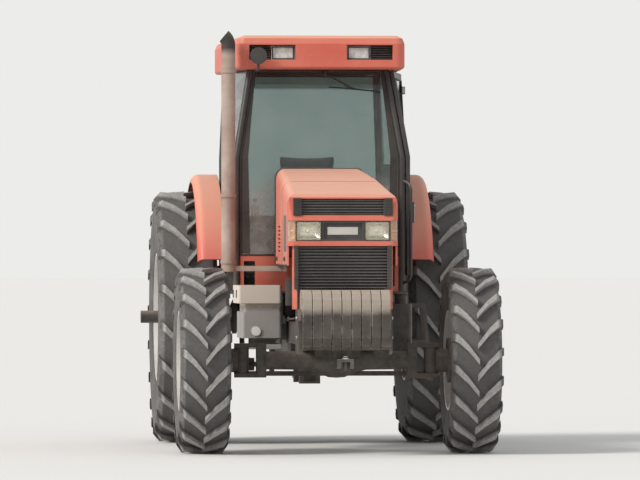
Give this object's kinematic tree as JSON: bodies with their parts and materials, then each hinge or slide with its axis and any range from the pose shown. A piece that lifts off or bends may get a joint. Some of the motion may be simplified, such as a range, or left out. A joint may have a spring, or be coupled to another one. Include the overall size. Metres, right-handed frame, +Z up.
{
  "type": "row-crop farm tractor",
  "caption": "Four-wheel-drive row-crop tractor with glass cab, long hood, front weights, lugged tyres and a three-point linkage; wheels, steering, door and linkage move.",
  "frame": {"origin": "on the ground under the middle of the tractor's length and width", "axes": "+Z up, -Y towards the front of the tractor, +X towards its left side"},
  "size_m": [2.59, 5.2339, 3.1494],
  "materials": {
    "red_paint": "faded satin",
    "black_paint": "satin, dusty",
    "cast_grey": "painted rough",
    "weight_iron": "dusty",
    "tyre_rubber": "dusty matt",
    "rim_paint": "satin",
    "lamp": "clear",
    "window": "tinted",
    "stack_steel": "rusty",
    "dusty_box": "dusty",
    "seat_cloth": "woven",
    "console_plastic": "grained",
    "steel": "worn"
  },
  "bodies": {
    "chassis": {"chassis_rails": "black_paint", "engine": "cast_grey", "transmission": "black_paint", "rear_axle": "black_paint", "front_axle": "cast_grey", "hood": "red_paint", "nose": "red_paint", "upper_grille": "black_paint", "lower_grille": "black_paint", "side_screens": "black_paint", "headlamps": "lamp", "lamp_panel": "black_paint", "radiator": "cast_grey", "weight_bracket": "black_paint", "front_weights": "weight_iron", "cab_floor": "black_paint", "cowl": "red_paint", "cab_posts": "black_paint", "cab_roof": "red_paint", "windshield": "window", "window_right": "window", "quarter_windows": "window", "rear_window": "window", "roof_lamps": "lamp", "fender_left": "red_paint", "fender_right": "red_paint", "exhaust_stack": "stack_steel", "fuel_tank": "black_paint", "battery_box": "dusty_box", "steps": "black_paint", "seat": "seat_cloth", "steering_console": "console_plastic", "mirrors": "black_paint", "drawbar": "cast_grey", "pto_shaft": "steel"},
    "rear_wheel_left": {"rear_tyre_left": "tyre_rubber", "rear_rim_left": "rim_paint"},
    "rear_wheel_right": {"rear_tyre_right": "tyre_rubber", "rear_rim_right": "rim_paint"},
    "front_wheel_left": {"front_tyre_left": "tyre_rubber", "front_rim_left": "rim_paint"},
    "front_wheel_right": {"front_tyre_right": "tyre_rubber", "front_rim_right": "rim_paint"},
    "knuckle_left": {"knuckle_left": "cast_grey"},
    "knuckle_right": {"knuckle_right": "cast_grey"},
    "tie_rod": {"tie_rod": "cast_grey"},
    "door": {"door_frame": "black_paint", "door_glass": "window"},
    "lift_arms": {"rockshaft": "cast_grey"},
    "lower_link_left": {"lower_link_left": "cast_grey"},
    "lower_link_right": {"lower_link_right": "cast_grey"},
    "lift_rod_left": {"lift_rod_left": "cast_grey"},
    "lift_rod_right": {"lift_rod_right": "cast_grey"},
    "top_link": {"top_link": "cast_grey"}
  },
  "joints": [
    {"name": "rear_left_spin", "type": "hinge", "parent": "chassis", "child": "rear_wheel_left", "pos_m": [0.965, 1.383, 0.975], "axis": [1, 0, 0], "continuous": true},
    {"name": "rear_right_spin", "type": "hinge", "parent": "chassis", "child": "rear_wheel_right", "pos_m": [-0.965, 1.383, 0.975], "axis": [1, 0, 0], "continuous": true},
    {"name": "steer_left", "type": "hinge", "parent": "chassis", "child": "knuckle_left", "pos_m": [0.7, -1.617, 0.683], "axis": [0, 0, 1], "range_deg": [-40, 40]},
    {"name": "front_left_spin", "type": "hinge", "parent": "knuckle_left", "child": "front_wheel_left", "pos_m": [0.99, -1.617, 0.683], "axis": [1, 0, 0], "continuous": true},
    {"name": "steer_right", "type": "hinge", "parent": "chassis", "child": "knuckle_right", "pos_m": [-0.7, -1.617, 0.683], "axis": [0, 0, 1], "range_deg": [-40, 40]},
    {"name": "front_right_spin", "type": "hinge", "parent": "knuckle_right", "child": "front_wheel_right", "pos_m": [-0.99, -1.617, 0.683], "axis": [1, 0, 0], "continuous": true},
    {"name": "tie_rod_pivot", "type": "hinge", "parent": "knuckle_left", "child": "tie_rod", "pos_m": [0.7, -1.387, 0.6], "axis": [0, 0, 1], "range_deg": [-40, 40]},
    {"name": "door_swing", "type": "hinge", "parent": "chassis", "child": "door", "pos_m": [0.7223, 1.033, 2.3], "axis": [0, 0, 1], "range_deg": [0, 72]},
    {"name": "hitch_lift", "type": "hinge", "parent": "chassis", "child": "lift_arms", "pos_m": [0, 1.843, 1.09], "axis": [1, 0, 0], "range_deg": [-12, 28]},
    {"name": "lower_link_left_pivot", "type": "hinge", "parent": "chassis", "child": "lower_link_left", "pos_m": [0.412, 1.683, 0.6], "axis": [1, 0, 0], "range_deg": [-12, 28]},
    {"name": "lift_rod_left_pivot", "type": "hinge", "parent": "lift_arms", "child": "lift_rod_left", "pos_m": [0.458, 2.243, 1.09], "axis": [1, 0, 0], "range_deg": [-28, 12]},
    {"name": "lower_link_right_pivot", "type": "hinge", "parent": "chassis", "child": "lower_link_right", "pos_m": [-0.412, 1.683, 0.6], "axis": [1, 0, 0], "range_deg": [-12, 28]},
    {"name": "lift_rod_right_pivot", "type": "hinge", "parent": "lift_arms", "child": "lift_rod_right", "pos_m": [-0.458, 2.243, 1.09], "axis": [1, 0, 0], "range_deg": [-28, 12]},
    {"name": "top_link_pivot", "type": "hinge", "parent": "chassis", "child": "top_link", "pos_m": [0, 1.823, 0.98], "axis": [1, 0, 0], "range_deg": [-20, 30]}
  ],
  "couplings": [
    {"joint": "steer_right", "follows": "steer_left", "ratio": 1},
    {"joint": "tie_rod_pivot", "follows": "steer_left", "ratio": -1},
    {"joint": "lower_link_left_pivot", "follows": "hitch_lift", "ratio": 1},
    {"joint": "lift_rod_left_pivot", "follows": "hitch_lift", "ratio": -1},
    {"joint": "lower_link_right_pivot", "follows": "hitch_lift", "ratio": 1},
    {"joint": "lift_rod_right_pivot", "follows": "hitch_lift", "ratio": -1}
  ]
}
